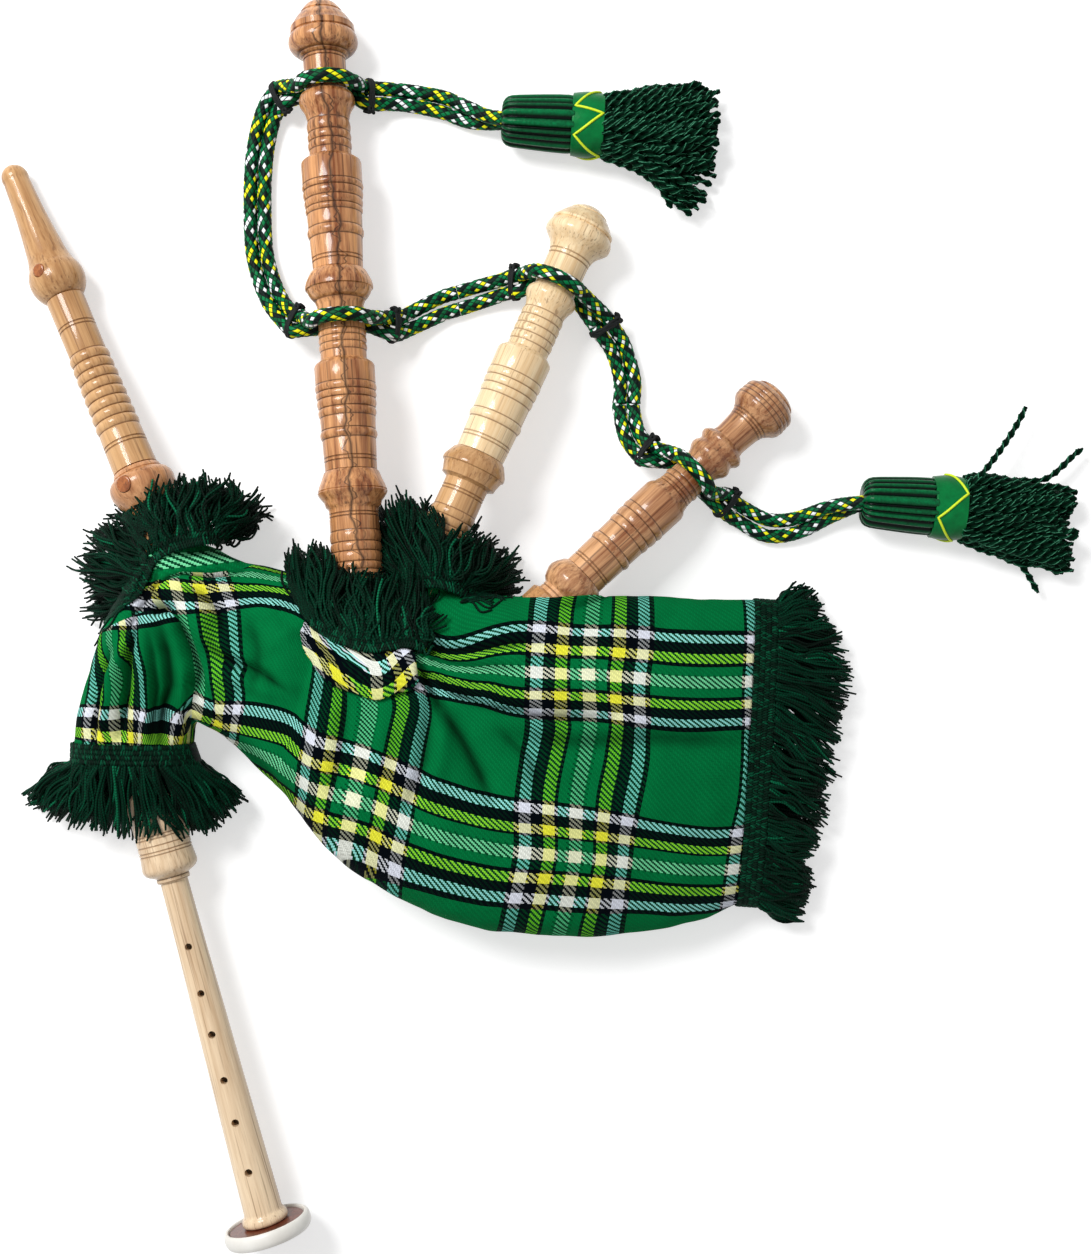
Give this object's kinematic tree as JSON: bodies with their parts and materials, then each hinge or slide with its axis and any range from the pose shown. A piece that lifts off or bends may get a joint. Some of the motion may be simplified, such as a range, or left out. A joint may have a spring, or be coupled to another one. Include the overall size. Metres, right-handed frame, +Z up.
{
  "type": "miniature bagpipe",
  "caption": "Small bagpipe lying flat: three jointed wooden drones, blowpipe and chanter in a fringed tartan bag cover, tied by a green cord with two tassels.",
  "frame": {"origin": "centre of the underside of the bounding box, on the surface that the instrument lies on, cord and tassels left out", "axes": "+X towards the rear hem of the bag, +Y along the bass drone towards its tip, +Z up from the surface"},
  "size_m": [0.5336, 0.6085, 0.0661],
  "materials": {
    "bass_wood": "satin-oiled warm brown hardwood with a dark vein",
    "tenor_wood": "satin pale hardwood",
    "dark_tenor_wood": "satin reddish hardwood with fine straight grain",
    "blowpipe_wood": "satin golden hardwood",
    "mount_wood": "satin darker reddish hardwood",
    "chanter_wood": "satin straight-grained hardwood",
    "peg_wood": "plain end-grain dowel",
    "stock_wood": "satin hardwood",
    "sole_wood": "polished dark red hardwood",
    "sole_rim_plastic": "ivory-white moulded plastic",
    "hemp": "waxed hemp thread, wound",
    "cane": "bare cane",
    "valve_leather": "thin soft leather",
    "bag_leather": "seasoned hide",
    "tartan_cloth": "woven woollen tartan, green ground with navy, pale blue, lime and white lines",
    "fringe_thread": "dark green yarn fringe",
    "green_cord": "twisted dark green cord with a silk sheen",
    "black_band": "black thread binding",
    "tassel_thread": "dark green silk thread",
    "satin_band": "green satin ribbon with a yellow zigzag"
  },
  "bodies": {
    "bag_and_stocks": {"air_bag": "bag_leather", "bag_cover": "tartan_cloth", "bass_fringe": "fringe_thread", "bass_lower_hemp": "hemp", "bass_lower_joint": "bass_wood", "bass_reed": "cane", "bass_stock": "stock_wood", "blowpipe_fringe": "fringe_thread", "blowpipe_stock": "stock_wood", "chanter_fringe": "fringe_thread", "chanter_stock": "chanter_wood", "rear_fringe": "fringe_thread", "tenor_left_fringe": "fringe_thread", "tenor_left_hemp": "hemp", "tenor_left_lower_joint": "tenor_wood", "tenor_left_reed": "cane", "tenor_left_stock": "stock_wood", "tenor_right_hemp": "hemp", "tenor_right_lower_joint": "dark_tenor_wood", "tenor_right_reed": "cane", "tenor_right_stock": "stock_wood"},
    "bass_middle": {"bass_middle_joint": "bass_wood", "bass_upper_hemp": "hemp", "cord_band_bass_middle_left": "black_band", "cord_band_bass_middle_right": "black_band", "cord_1_bass_middle": "green_cord", "cord_2_bass_middle": "green_cord"},
    "bass_top": {"bass_top_joint": "bass_wood", "cord_band_bass_top_right": "black_band", "cord_band_bass_top_left": "black_band", "cord_1_bass_top": "green_cord", "cord_2_bass_top": "green_cord", "tassel_1_head": "tassel_thread", "tassel_1_band": "satin_band", "tassel_1_skirt": "tassel_thread"},
    "tenor_left_top": {"tenor_left_top_joint": "tenor_wood", "cord_band_tenor_left_outer": "black_band", "cord_band_tenor_left_inner": "black_band", "cord_1_tenor_left": "green_cord", "cord_2_tenor_left": "green_cord", "cord_1_drone_run": "green_cord", "cord_2_drone_run": "green_cord"},
    "tenor_right_top": {"tenor_right_top_joint": "dark_tenor_wood", "cord_band_tenor_right_outer": "black_band", "cord_band_tenor_right_inner": "black_band", "cord_1_tenor_right": "green_cord", "cord_2_tenor_right": "green_cord", "tassel_2_head": "tassel_thread", "tassel_2_band": "satin_band", "tassel_2_skirt": "tassel_thread"},
    "blowpipe": {"blowpipe_mouthpiece": "blowpipe_wood", "blowpipe_mouthpiece_peg": "peg_wood", "blowpipe_tube": "blowpipe_wood", "blowpipe_bulb": "mount_wood", "blowpipe_bulb_peg": "peg_wood"},
    "chanter": {"chanter": "chanter_wood", "chanter_sole": "sole_wood", "chanter_sole_rim": "sole_rim_plastic", "chanter_reed": "cane"},
    "valve": {"valve_flap": "valve_leather"}
  },
  "joints": [
    {"name": "bass_middle_slide", "type": "slide", "parent": "bag_and_stocks", "child": "bass_middle", "axis": [-0.0727, 0.9948, -0.0715], "range_m": [0, 0.012], "deforming": ["cord_1_bass_middle", "cord_2_bass_middle"]},
    {"name": "bass_top_slide", "type": "slide", "parent": "bass_middle", "child": "bass_top", "axis": [-0.0727, 0.9948, -0.0715], "range_m": [0, 0.012], "deforming": ["cord_1_bass_top", "cord_2_bass_top"]},
    {"name": "tenor_left_slide", "type": "slide", "parent": "bag_and_stocks", "child": "tenor_left_top", "axis": [0.4044, 0.9096, -0.0958], "range_m": [0, 0.012], "deforming": ["cord_1_tenor_left", "cord_2_tenor_left", "cord_1_drone_run", "cord_2_drone_run"]},
    {"name": "tenor_right_slide", "type": "slide", "parent": "bag_and_stocks", "child": "tenor_right_top", "axis": [0.7294, 0.6773, -0.0958], "range_m": [0, 0.012], "deforming": ["cord_1_tenor_right", "cord_2_tenor_right"]},
    {"name": "blowpipe_turn", "type": "hinge", "parent": "bag_and_stocks", "child": "blowpipe", "pos_m": [-0.12895, 0.05525, 0.02818], "axis": [0.3992, -0.9098, 0.1132], "continuous": true},
    {"name": "chanter_turn", "type": "hinge", "parent": "bag_and_stocks", "child": "chanter", "pos_m": [-0.12057, -0.12234, 0.0216], "axis": [0.2607, -0.9654, 0], "continuous": true},
    {"name": "valve_hinge", "type": "hinge", "parent": "bag_and_stocks", "child": "valve", "pos_m": [-0.11052, 0.01325, 0.04347], "axis": [-0.9157, -0.4018, 0], "range_deg": [0, 50], "stiffness_Nm_per_rad": 0.0004}
  ]
}
